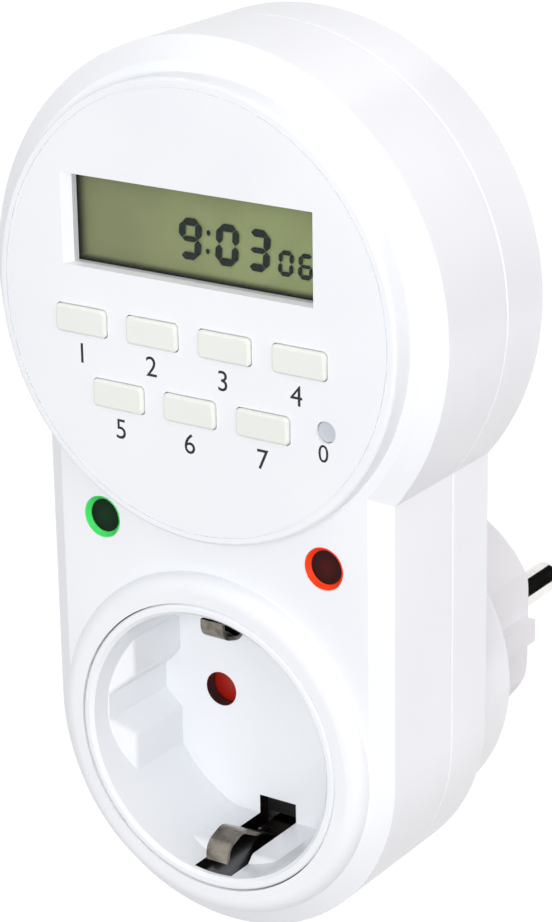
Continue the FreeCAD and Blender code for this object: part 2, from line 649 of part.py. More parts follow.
def board_screws():
    screws = []
    spots = [(across, up, "control_back") for across, up in post_places]
    spots += [(sign + "stand_off_across", "stand_off_height", "power_back") for sign in ("", "-")]
    for count, (across, up, seat) in enumerate(spots, start=1):
        head = rod(f"board_screw_head_{count}", "board_screw_head_radius", seat, seat + " + board_screw_head",
                   across=across, up=up)
        shank = rod(f"board_screw_shank_{count}", "board_screw_radius",
                    seat + " - board_screw_length + 0.3", seat, across=across, up=up)
        screws.append(fuse(f"board_screw_{count}", [head, shank]))
    node("board_screws", fuse("board_screws", screws))


def power_board():
    disc = rod("power_disc", "board_radius", "power_front", "power_back", up="axis_spacing")
    foot = block("power_foot", ("-board_half_width", "power_front", "board_foot"),
                 ("board_half_width", "power_back", "axis_spacing"))
    holes = [rod(f"power_hole_{count}", "board_screw_radius + fit_gap", "power_front - wall",
                 "power_back + wall", across=sign + "stand_off_across", up="stand_off_height")
             for count, sign in enumerate(("", "-"), start=1)]
    node("power_board", cut("power_board", fuse("power_blank", [disc, foot]), holes))
    pillars = [rod(f"pillar_{count}", "pillar_radius", "control_back", "power_front",
                   across=sign + "pillar_across", up="axis_spacing + pillar_up")
               for count, sign in enumerate(("", "-"), start=1)]
    node("board_pillars", fuse("board_pillars", pillars))


def power_components():
    relay = panel_block("relay_case", "-relay_width / 2", "relay_width / 2",
                        "relay_bottom", "relay_bottom + relay_height", "power_back", "power_back + relay_depth")
    node("relay", rounded("relay", relay, [(runs_along_y, "insert_lip_round")]))
    film = panel_block("film_case", "film_left", "film_left + film_width",
                       "film_bottom", "film_bottom + film_height", "power_back", "power_back + film_depth")
    node("dropper_capacitor", rounded("dropper_capacitor", film, [(runs_along_y, "insert_lip_round")]))
    can = rod("can_case", "can_radius", "power_back", "power_back + can_depth",
              across="can_across", up="axis_spacing + can_up")
    node("smoothing_capacitor", can)
    cell_up = "axis_spacing + backup_up"
    cell = rod("backup_case", "backup_radius", "power_back + tab_thickness",
               "power_back + tab_thickness + backup_depth", across="backup_across", up=cell_up)
    node("backup_cell", rounded("backup_cell", cell,
                                [(lies_at(num("power_back") + num("tab_thickness") + num("backup_depth")),
                                  "insert_lip_round")]))
    under = block("tab_under", ("backup_across - backup_radius - 1.2", "power_back", cell_up + " - tab_width / 2"),
                  ("backup_across + backup_radius / 2", "power_back + tab_thickness",
                   cell_up + " + tab_width / 2"))
    top = "power_back + tab_thickness + backup_depth"
    over = block("tab_over", ("backup_across - tab_width / 2", top, cell_up + " - backup_radius / 2"),
                 ("backup_across + tab_width / 2", top + " + tab_thickness",
                  cell_up + " + backup_radius + 1.2"))
    drop = block("tab_drop", ("backup_across - tab_width / 2", "power_back",
                              cell_up + " + backup_radius + 1.2 - tab_thickness"),
                 ("backup_across + tab_width / 2", top + " + tab_thickness",
                  cell_up + " + backup_radius + 1.2"))
    node("cell_tabs", fuse("cell_tabs", [under, fuse("tab_bent", [over, drop])]))
    varistor = rod("varistor", "varistor_radius", "varistor_across", "varistor_across + varistor_thickness",
                   across="power_back + varistor_radius", up="axis_spacing + varistor_up", along="X")
    node("varistor", varistor)
    fuse_part = rod("fusible_resistor", "fuse_radius", "-fuse_length / 2 + 3", "fuse_length / 2 + 3",
                    across="power_back + fuse_radius", up="axis_spacing + fuse_up", along="X")
    node("fusible_resistor", fuse_part)
    diodes = [rod(f"diode_{count}", "diode_radius", f"axis_spacing + diode_up - diode_length / 2",
                  f"axis_spacing + diode_up + diode_length / 2",
                  across=f"diode_pitch * ({count} - 1.5)", up="power_back + diode_radius", along="Z")
              for count in range(4)]
    node("rectifier_diodes", fuse("rectifier_diodes", diodes))


def indicators():
    for name, sign in (("green", "-"), ("red", "")):
        across = sign + "indicator_across"
        up = "indicator_height"
        front = "front_face - indicator_rise"
        cup = rod(f"{name}_cup", "indicator_radius", front, "front_inside + fit_gap", across=across, up=up)
        flange = rod(f"{name}_flange", "indicator_radius + indicator_flange", "front_inside",
                     "front_inside + indicator_flange", across=across, up=up)
        # The cone starts one well's depth ahead of the front, so that it meets the rim on its way in.
        lean = "(indicator_radius - indicator_rim - indicator_floor_radius)"
        well = cone(f"{name}_well", f"indicator_floor_radius + 2 * {lean}", "indicator_floor_radius",
                    front + " - indicator_well", front + " + indicator_well", across=across, up=up)
        lens = cut(f"{name}_indicator_lens", fuse(f"{name}_lens_blank", [cup, flange]), [well])
        node(f"{name}_indicator_lens", lens)
        lamp = rod(f"{name}_lamp_body", "lamp_radius", "front_inside + indicator_flange",
                   "power_front", across=across, up=up)
        collar = rod(f"{name}_lamp_collar", "lamp_radius + lamp_collar", "power_front - 1",
                     "power_front", across=across, up=up)
        node(f"{name}_lamp", fuse(f"{name}_lamp", [lamp, collar]))


# Socket side

def socket_insert():
    cup = rod("insert_cup", "insert_radius", "collar_face", "floor_back")
    cup = rounded("insert_cup_rounded", cup, [(lies_at(num("collar_face")), "insert_lip_round")])
    flange = rod("insert_flange_ring", "insert_radius + insert_flange", "front_inside",
                 "front_inside + insert_flange")
    blank = fuse("insert_blank", [cup, flange])
    recess = rod("recess_round", "recess_radius", "collar_face - wall", "recess_floor")
    mouth = cone("recess_mouth", "recess_radius + insert_lip_round * 2", "recess_radius",
                 "collar_face - insert_lip_round", "collar_face + insert_lip_round")
    # The side flats and the flats beside the earth clips begin behind a full round mouth and lean in.
    flat_start = "collar_face + side_flat_start"
    middle = block("recess_middle", ("-side_flat", flat_start, "-clip_flat"),
                   ("side_flat", "recess_floor", "clip_flat"))
    lean = wedge("recess_lean",
                 ("-side_flat - lead_in", "side_flat + lead_in", "-clip_flat - lead_in", "clip_flat + lead_in"),
                 ("-side_flat", "side_flat", "-clip_flat", "clip_flat"), flat_start, flat_start + " + lead_in")
    round_mouth = rod("recess_round_mouth", "recess_radius", "collar_face - wall", flat_start)
    inner = common("recess_inner", fuse("recess_core", [middle, lean]), recess)
    notches = []
    for label, sign in (("right", 1), ("left", -1)):
        notch = doc.addObject("Part::Extrusion", f"notch_{label}")
        outline = feature(f"notch_{label}_outline", notch_face(sign))
        notch.Base = outline
        notch.DirMode = "Custom"
        notch.Dir = FreeCAD.Vector(0, 1, 0)
        notch.LengthFwd = num("recess_floor") - num("collar_face") - num("slot_start")
        notch.Solid = True
        notches.append(notch)
    hollow = cut("insert_hollow", blank, [round_mouth, mouth, inner] + notches)
    cuts = []
    for label, low, high in (("bottom", "-slot_outer", "-slot_inner"), ("top", "slot_inner", "slot_outer")):
        cuts.append(block(f"clip_slot_{label}", ("-slot_half_width", "collar_face + slot_start", low),
                          ("slot_half_width", "floor_back + wall", high)))
    for label, sign in (("right", ""), ("left", "-")):
        cuts.append(rod(f"pin_hole_{label}", "pin_hole_radius", "recess_floor - wall", "floor_back + wall",
                        across=sign + "pin_across"))
    sharp = cut("insert_sharp", hollow, cuts)
    node("socket_insert", rounded("socket_insert", sharp, [(recess_corner, "recess_rounding")]))


def recess_corner(edge):
    """True for the straight edges of the flats, behind their lead-in and beside the notches."""
    box = edge.BoundBox
    back = num("collar_face") + num("side_flat_start") + num("lead_in")
    behind_lead_in = abs(box.YMin - back) < 1e-3 and box.YLength < 1e-3
    highest = max(abs(box.ZMin), abs(box.ZMax))
    beside_notch = abs(highest - num("notch_inner")) < 1e-3 and box.YLength > 1
    return edge.Curve.TypeId == "Part::GeomLine" and (behind_lead_in or beside_notch)


def notch_face(sign):
    """The opening between a side's two flats, wide at its mouth, where a plug's rib runs."""
    depth = num("collar_face") + num("slot_start")
    corners = [
        (num("side_flat") - 1, num("notch_inner")),
        (num("side_flat"), num("notch_inner")),
        (num("notch_depth"), num("notch_outer")),
        (num("notch_depth"), -num("notch_outer")),
        (num("side_flat"), -num("notch_inner")),
        (num("side_flat") - 1, -num("notch_inner")),
    ]
    points = [FreeCAD.Vector(sign * across, depth, up) for across, up in corners]
    return Part.Face(Part.makePolygon(points + points[:1]))


def shutter():
    start = "floor_back + slide_gap"
    end = start + " + shutter_thickness"
    arms = block("shutter_arms", ("-shutter_length / 2", start, "-shutter_half_height"),
                 ("shutter_length / 2", end, "shutter_half_height"))
    limit = rod("shutter_limit", "shutter_length / 2", start, end)
    hub = rod("shutter_hub", "shutter_hub_radius", start, end)
    bore = rod("shutter_bore", "pivot_radius + pivot_gap", "floor_back - wall", "carrier_back")
    node("shutter", cut("shutter", fuse("shutter_blank", [common("shutter_trim", arms, limit), hub]), [bore]))
    # The spring stands round the pivot, between the shutter and the bottom of its well.
    depth = num("floor_back") + num("slide_gap") + num("shutter_thickness") + num("pivot_gap")
    place = FreeCAD.Placement(FreeCAD.Vector(0, depth + num("spring_wire") / 2, 0), turned["Y"])
    node("shutter_spring", feature("shutter_spring", spring_shape(), place))


def spring_shape():
    """A coil about Z that starts at the origin."""
    radius = num("spring_radius")
    turns = num("spring_turns")
    steps = 16
    count = int(steps * turns)
    points = []
    for index in range(count + 1):
        angle = 2 * math.pi * index / steps
        points.append(FreeCAD.Vector(radius * math.cos(angle), radius * math.sin(angle),
                                     num("spring_pitch") * index / steps))
    line = Part.BSplineCurve()
    line.interpolate(points)
    start = line.tangent(line.FirstParameter)[0]
    circle = Part.Wire(Part.Circle(points[0], start, num("spring_wire") / 2).toShape())
    return Part.Wire(line.toShape()).makePipeShell([circle], True, False)


def contact_carrier():
    body = rod("carrier_body", "carrier_radius", "floor_back", "carrier_back")
    room = rod("shutter_room_cut", "shutter_room_radius", "floor_back - wall", "floor_back + shutter_room")
    well = rod("spring_well_cut", "spring_well_radius", "floor_back", "floor_back + shutter_room + spring_well")
    chambers = []
    for label, low, high in (("right", "chamber_inner", "chamber_outer"),
                             ("left", "-chamber_outer", "-chamber_inner")):
        chambers.append(block(f"chamber_{label}", (low, "floor_back", "-chamber_half_height"),
                              (high, "carrier_back + wall", "chamber_half_height")))
    leg_rooms = []
    for label, low, high in (("top", "strap_leg - strap_bend - fit_gap", "strap_leg + wall"),
                             ("bottom", "-strap_leg - wall", "-strap_leg + strap_bend + fit_gap")):
        leg_rooms.append(block(f"leg_room_{label}", ("-slot_half_width", "floor_back - wall", low),
                               ("slot_half_width", "carrier_back + wall", high)))
    hollow = cut("carrier_hollow", body, [room, well] + chambers + leg_rooms)
    pivot = rod("carrier_pivot", "pivot_radius", "floor_back + joint_bevel / 2", "carrier_back - wall")
    node("contact_carrier", fuse("contact_carrier", [hollow, pivot]))


def contacts():
    """A channel of spring brass on each side, open to the middle, with a tail for its lead."""
    for name, sign in (("line", 1), ("neutral", -1)):
        end = num("carrier_back") - num("joint_bevel")
        start = end - num("contact_length")
        outer = num("chamber_outer") - num("fit_gap") / 2
        thick = num("leaf_thickness")
        gap = num("leaf_gap")
        lip = num("contact_lip")
        half = gap + thick
        section = [
            (lip, gap), (outer - thick, gap), (outer - thick, -gap), (lip, -gap),
            (lip, -half), (outer, -half), (outer, half), (lip, half),
        ]
        points = [FreeCAD.Vector(sign * across, start, up) for across, up in section]
        channel = Part.Face(Part.makePolygon(points + points[:1])).extrude(FreeCAD.Vector(0, end - start, 0))
        tail = Part.makeBox(thick, num("tail_length") + 1, 2 * num("tail_half_width"),
                            FreeCAD.Vector(outer - thick if sign > 0 else -outer, end - 1,
                                           -num("tail_half_width")))
        node(f"{name}_contact", feature(f"{name}_contact", channel.fuse(tail).removeSplitter()))


def earth_straps():
    """The front strap carries both clips in the recess. The rear one reaches the plug's sides."""
    thick = num("strap_thickness")
    front = num("collar_face")
    leg = num("strap_leg")
    web = num("carrier_back") + thick / 2
    side = [
        (front + num("clip_nose"), num("clip_nose_height")),
        (front + num("clip_nose"), num("clip_front_height")),
        (front + num("clip_top"), num("clip_height")),
        (front + num("clip_start"), leg),
        (web, leg),
    ]
    side_bends = [num("clip_bend")] * 3 + [num("strap_bend")]
    points = side + [(depth, -up) for depth, up in reversed(side)]
    route = [FreeCAD.Vector(0, depth, up) for depth, up in points]
    shape = strip(route, num("clip_width"), thick, side_bends + side_bends[::-1])
    node("socket_earth_strap", feature("socket_earth_strap", shape))
    rear_web = web + thick
    plug_leg = num("groove_floor") + thick / 2 + 0.05
    nose = -num("plug_strap_front")
    slope = num("plug_strap_slope")
    rear_side = [
        (nose, plug_leg + num("plug_strap_lip")),
        (nose - slope, plug_leg + num("plug_strap_dip")),
        (nose - slope - num("plug_strap_flat"), plug_leg + num("plug_strap_dip")),
        (nose - 2 * slope - num("plug_strap_flat"), plug_leg),
        (rear_web, plug_leg),
    ]
    rear_points = rear_side + [(depth, -up) for depth, up in reversed(rear_side)]
    rear_route = [FreeCAD.Vector(0, depth, up) for depth, up in rear_points]
    rear_shape = strip(rear_route, num("strap_width"), thick, [num("strap_bend")] * (len(rear_route) - 2))
    drill = Part.makeCylinder(num("rivet_radius"), 10 * thick, FreeCAD.Vector(0, web - 5 * thick, 0),
                              FreeCAD.Vector(0, 1, 0))
    node("plug_earth_strap", feature("plug_earth_strap", rear_shape.cut(drill)))
    nodes[-2].Shape = shape.cut(drill)
    rivet = Part.makeCylinder(num("rivet_radius"), 2 * thick, FreeCAD.Vector(0, num("carrier_back"), 0),
                              FreeCAD.Vector(0, 1, 0))
    head = Part.makeCylinder(2 * num("rivet_radius"), 0.5,
                             FreeCAD.Vector(0, num("carrier_back") + 2 * thick, 0), FreeCAD.Vector(0, 1, 0))
    node("earth_rivet", feature("earth_rivet", rivet.fuse(head).removeSplitter()))


# Plug side

def plug_body():
    body = rod("plug_round", "plug_radius", "flange_front", "0")
    body = rounded("plug_rounded", body, [(lies_at(0.0), "plug_edge_round")])
    flange = rod("plug_flange_ring", "plug_flange_radius", "flange_front", "flange_front + plug_flange")
    side_cuts = []
    ribs = []
    for label, sign in (("right", 1), ("left", -1)):
        low, high = ("plug_flat", "plug_radius + 1") if sign > 0 else ("-plug_radius - 1", "-plug_flat")
        side_cuts.append(block(f"plug_flat_{label}", (low, "boss_face + wall / 2", "-plug_flat_half_height"),
                               (high, "1", "plug_flat_half_height")))
        low, high = ("plug_flat - 1", "plug_rib_reach") if sign > 0 else ("-plug_rib_reach", "-plug_flat + 1")
        ribs.append(block(f"plug_rib_{label}", (low, "boss_face + wall / 4", "-plug_rib_half_height"),
                          (high, "-plug_edge_round", "plug_rib_half_height")))
    grooves = []
    for label, low, high in (("top", "groove_floor", "plug_flange_radius + 1"),
                             ("bottom", "-plug_flange_radius - 1", "-groove_floor")):
        grooves.append(block(f"plug_groove_{label}", ("-groove_half_width", "flange_front - 1", low),
                             ("groove_half_width", "1", high)))
    hollow = rod("plug_hollow", "plug_hollow_radius", "flange_front - 1", "-plug_end_wall")
    shaped = fuse("plug_shaped", [cut("plug_flatted", fuse("plug_blank", [body, flange]), side_cuts)] + ribs)
    opened = cut("plug_opened", shaped, grooves + [hollow])
    bosses = []
    bores = []
    for label, sign in (("right", ""), ("left", "-")):
        bosses.append(rod(f"pin_boss_{label}", "pin_boss_radius", "-plug_end_wall - pin_boss",
                          "-plug_end_wall + joint_bevel", across=sign + "pin_across"))
        bores.append(rod(f"pin_bore_{label}", "pin_tail_radius + pivot_gap", "-plug_end_wall - 2 * pin_boss",
                         "1", across=sign + "pin_across"))
    node("plug_body", cut("plug_body", fuse("plug_bossed", [opened] + bosses), bores))


def plug_pins():
    for name, sign in (("line", ""), ("neutral", "-")):
        across = sign + "pin_across"
        shank = rod(f"{name}_pin_shank", "pin_radius", "0", "pin_length", across=across)
        shank = rounded(f"{name}_pin_rounded", shank, [(lies_at(num("pin_length")), "pin_tip_round")])
        tail = rod(f"{name}_pin_tail", "pin_tail_radius", "-pin_tail", "0", across=across)
        node(f"{name}_pin", fuse(f"{name}_pin", [shank, tail]))


# Leads

def leads():
    for name, contact_name, sign in (("line_lead", "switched_lead", 1),
                                     ("neutral_lead", "neutral_socket_lead", -1)):
        across = sign * num("pin_across")
        near = sign * num("mains_lead_across")
        gap_middle = (num("carrier_back") + num("flange_front")) / 2
        reach = num("mains_lead_reach")
        rise = num("lead_rise")
        turn = -num("lead_turn")
        end = num("lead_end_height")
        board = num("power_back")
        route = [
            FreeCAD.Vector(across, -num("pin_tail"), 0),
            FreeCAD.Vector(across, -num("pin_tail") - num("lead_straight"), 0),
            FreeCAD.Vector(near, -num("pin_tail") - 2 * num("lead_straight"), reach),
            FreeCAD.Vector(near, gap_middle, reach),
            FreeCAD.Vector(near, gap_middle, rise),
            FreeCAD.Vector(near, turn, rise),
            FreeCAD.Vector(near, turn, end),
            FreeCAD.Vector(near, board, end),
        ]
        node(name, lead(name, route, num("mains_lead_radius"), 1.25))
        tail_across = sign * (num("chamber_outer") - num("fit_gap") / 2 - num("leaf_thickness") / 2)
        tail_depth = num("carrier_back") - num("joint_bevel") + num("tail_length") / 2
        contact_route = [
            FreeCAD.Vector(tail_across, tail_depth, num("tail_half_width")),
            FreeCAD.Vector(tail_across, tail_depth, num("contact_lead_rise")),
            FreeCAD.Vector(tail_across, turn, num("contact_lead_rise")),
            FreeCAD.Vector(tail_across, turn, end),
            FreeCAD.Vector(tail_across, board, end),
        ]
        node(contact_name, lead(contact_name, contact_route, num("contact_lead_radius"), num("lead_bend")))


front_shell()
rear_shell()
case_screws()
display_panel()
display_lens()
lcd_parts()
buttons()
reset_button()
key_mat()
control_board()
board_screws()
power_board()
power_components()
indicators()
socket_insert()
shutter()
contact_carrier()
contacts()
earth_straps()
plug_body()
plug_pins()
leads()
doc.recompute()

failed = [item.Name for item in doc.Objects if "Invalid" in item.State or "Error" in item.State]
for item in nodes:
    if item.Shape.isNull() or not item.Shape.isValid():
        failed.append(item.Label)
if failed:
    raise RuntimeError("failed: " + ", ".join(failed))

os.makedirs("parts", exist_ok=True)
for item in nodes:
    item.Shape.exportStep(f"parts/{item.Label}.step")
    print(f"{item.Label}: {len(item.Shape.Solids)} solid, {item.Shape.Volume:.1f} mm3")
print(f"{len(nodes)} nodes")
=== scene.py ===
import math

import bpy
import numpy as np
from mathutils import Matrix, Vector


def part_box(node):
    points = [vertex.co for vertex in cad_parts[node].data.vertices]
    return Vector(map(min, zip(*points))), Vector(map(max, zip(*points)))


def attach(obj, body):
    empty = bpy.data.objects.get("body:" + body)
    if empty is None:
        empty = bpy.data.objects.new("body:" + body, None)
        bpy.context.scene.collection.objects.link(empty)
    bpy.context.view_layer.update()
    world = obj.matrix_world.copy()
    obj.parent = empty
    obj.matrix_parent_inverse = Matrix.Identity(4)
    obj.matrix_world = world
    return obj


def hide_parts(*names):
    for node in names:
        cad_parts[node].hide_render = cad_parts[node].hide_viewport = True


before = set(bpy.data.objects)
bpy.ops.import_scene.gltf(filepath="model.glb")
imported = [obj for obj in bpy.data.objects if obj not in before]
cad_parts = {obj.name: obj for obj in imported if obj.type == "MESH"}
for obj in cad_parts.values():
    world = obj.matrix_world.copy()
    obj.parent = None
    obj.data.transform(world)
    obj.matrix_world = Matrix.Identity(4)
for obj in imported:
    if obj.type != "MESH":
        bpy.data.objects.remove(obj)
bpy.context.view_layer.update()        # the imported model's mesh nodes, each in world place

print("frame loaded,", len(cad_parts), "nodes")

mm = 0.001
root = "housing"
headHeight = 62.5 * mm                   # from the axis of the recess up to that of the head
mixFirst, mixSecond, mixOut = 6, 7, 2    # the colour sockets of a Mix node
middle = (0.3, 0.7)                      # nearly all of a noise lies between these

camera = {                               # metres, degrees, and millimetres of lens and sensor
    "place": (0.21273, -0.35642, 0.17501),
    "azimuth": -34.164,
    "elevation": 20.092,
    "roll": -0.918,
    "lens": 113.985,
    "sensor": 36.0,
}


def turnMatrix(angle, axis):
    return Matrix.Rotation(math.radians(angle), 3, axis)


def makeCamera():
    # The rows of this matrix are the photograph's right, down and depth directions.
    depthForward = Matrix(((1, 0, 0), (0, 0, -1), (0, 1, 0)))
    rows = depthForward @ turnMatrix(camera["roll"], "Y") @ turnMatrix(camera["elevation"], "X")
    rows = rows @ turnMatrix(camera["azimuth"], "Z")
    columns = Matrix((rows[0], -rows[1], -rows[2])).transposed()
    data = bpy.data.cameras.new("camera")
    data.lens = camera["lens"]
    data.sensor_width = camera["sensor"]
    data.clip_start = 0.01
    item = bpy.data.objects.new("camera", data)
    bpy.context.collection.objects.link(item)
    item.matrix_world = Matrix.Translation(camera["place"]) @ columns.to_4x4()
    bpy.context.scene.camera = item


makeCamera()
print("camera set")

studio = {                               # metres and watts
    "leftLight": (0.54, 0.56, 0.57, 1),
    "rightLight": (0.94, 0.88, 0.895, 1),
    "lampTarget": (0, -0.03, 0.035),
    "keyPlace": (0.26, -0.62, 0.20),
    "keySize": 0.30,
    "keyPower": 2.0,
    "sidePlace": (0.66, -0.30, 0.12),
    "sideSize": 0.4,
    "sidePower": 0.4,
    "backPlace": (0.48, 0.42, 0.44),
    "backSize": 0.4,
    "backPower": 0.9,
    "floorSide": 4.0,
    "floorHeight": -0.17,
    "floorTone": 0.36,
    "floorLift": 0.76,
    "cardTarget": (0.01, 0.01, 0),
    "cardTone": 0.01,
    "frontCard": ((0.19, -0.32, 0.155), (0.10, 0.10)),
    "backCard": ((0.17, 0.30, 0.14), (0.13, 0.22)),
}


def seenDirectly(nodes, links):
    # 1 on camera, glossy and transmission rays, 0 on the rays that light the object.
    path = nodes.new("ShaderNodeLightPath")
    seen = path.outputs["Is Camera Ray"]
    for ray in ("Is Glossy Ray", "Is Transmission Ray"):
        either = nodes.new("ShaderNodeMath")
        either.operation = "MAXIMUM"
        links.new(seen, either.inputs[0])
        links.new(path.outputs[ray], either.inputs[1])
        seen = either.outputs[0]
    return seen


def makeWorld():
    world = bpy.data.worlds.new("studio")
    bpy.context.scene.world = world
    world.use_nodes = True
    nodes, links = world.node_tree.nodes, world.node_tree.links
    nodes.clear()
    shown = nodes.new("ShaderNodeBackground")
    shown.inputs["Color"].default_value = (1, 1, 1, 1)
    lighting = nodes.new("ShaderNodeBackground")
    # The room is brighter and a little warmer on the right than on the left.
    direction = nodes.new("ShaderNodeTexCoord")
    axes = nodes.new("ShaderNodeSeparateXYZ")
    slope = nodes.new("ShaderNodeMapRange")
    slope.inputs["From Min"].default_value = -1
    tint = nodes.new("ShaderNodeMix")
    tint.data_type = "RGBA"
    tint.inputs[mixFirst].default_value = studio["leftLight"]
    tint.inputs[mixSecond].default_value = studio["rightLight"]
    links.new(direction.outputs["Generated"], axes.inputs[0])
    links.new(axes.outputs[0], slope.inputs["Value"])
    links.new(slope.outputs["Result"], tint.inputs[0])
    links.new(tint.outputs[mixOut], lighting.inputs["Color"])
    mix = nodes.new("ShaderNodeMixShader")
    out = nodes.new("ShaderNodeOutputWorld")
    links.new(seenDirectly(nodes, links), mix.inputs[0])
    links.new(lighting.outputs[0], mix.inputs[1])
    links.new(shown.outputs[0], mix.inputs[2])
    links.new(mix.outputs[0], out.inputs[0])


def makeLamp(side):
    data = bpy.data.lights.new(side + "Lamp", "AREA")
    data.shape = "DISK"
    data.size = studio[side + "Size"]
    data.energy = studio[side + "Power"]
    item = bpy.data.objects.new(side + "Lamp", data)
    bpy.context.collection.objects.link(item)
    place = Vector(studio[side + "Place"])
    aim = Vector(studio["lampTarget"]) - place
    item.location = place
    item.rotation_euler = aim.to_track_quat("-Z", "Y").to_euler()
    item.visible_glossy = False


def makeSheet(name, wide, high, up=0.0):
    # One flat face on four corners, wide to each side and high to each end of the middle.
    corners = [(-wide, -high, up), (wide, -high, up), (wide, high, up), (-wide, high, up)]
    mesh = bpy.data.meshes.new(name)
    mesh.from_pydata(corners, [], [(0, 1, 2, 3)])
    item = bpy.data.objects.new(name, mesh)
    bpy.context.collection.objects.link(item)
    return item


def makeCard(name):
    # A black card that only reflections see, so that bright metal shows dark bands. It faces
    # the object, and its first side lies in one plane with the object's front-to-back line.
    place, (wide, high) = studio[name]
    item = makeSheet(name, wide, high)
    facing = (Vector(place) - Vector(studio["cardTarget"])).normalized()
    tangent = Vector((0, 1, 0)).cross(facing).normalized()
    radial = tangent.cross(facing)
    turn = Matrix((radial, tangent, -facing)).transposed()
    item.matrix_world = Matrix.Translation(place) @ turn.to_4x4()
    item.visible_camera = item.visible_diffuse = False
    item.visible_transmission = item.visible_shadow = False
    material = bpy.data.materials.new(name)
    material.use_nodes = True
    shader = material.node_tree.nodes["Principled BSDF"]
    shader.inputs["Base Color"].default_value = (*[studio["cardTone"]] * 3, 1)
    shader.inputs["Roughness"].default_value = 1.0
    shader.inputs["Specular IOR Level"].default_value = 0.0
    item.data.materials.append(material)


def makeFloor():
    item = makeSheet("floor", studio["floorSide"], studio["floorSide"], studio["floorHeight"])
    material = bpy.data.materials.new("paleFloor")
    material.use_nodes = True
    nodes, links = material.node_tree.nodes, material.node_tree.links
    nodes.clear()
    matte = nodes.new("ShaderNodeBsdfDiffuse")
    matte.inputs["Color"].default_value = (*[studio["floorTone"]] * 3, 1)
    lift = nodes.new("ShaderNodeEmission")
    strength = nodes.new("ShaderNodeMath")
    strength.operation = "MULTIPLY"
    strength.inputs[1].default_value = studio["floorLift"]
    total = nodes.new("ShaderNodeAddShader")
    out = nodes.new("ShaderNodeOutputMaterial")
    links.new(seenDirectly(nodes, links), strength.inputs[0])
    links.new(strength.outputs[0], lift.inputs["Strength"])
    links.new(matte.outputs[0], total.inputs[0])
    links.new(lift.outputs[0], total.inputs[1])
    links.new(total.outputs[0], out.inputs[0])
    item.data.materials.append(material)


makeWorld()
for side in ("key", "side", "back"):
    makeLamp(side)
makeFloor()
for card in ("frontCard", "backCard"):
    makeCard(card)
bpy.context.scene.view_settings.view_transform = "Standard"
print("studio set")


def linear(red, green, blue):
    # From the 0-255 values of a screen colour to a shader colour.
    share = np.array([red, green, blue]) / 255
    value = np.where(share <= 0.04045, share / 12.92, ((share + 0.055) / 1.055) ** 2.4)
    return (*value.tolist(), 1.0)


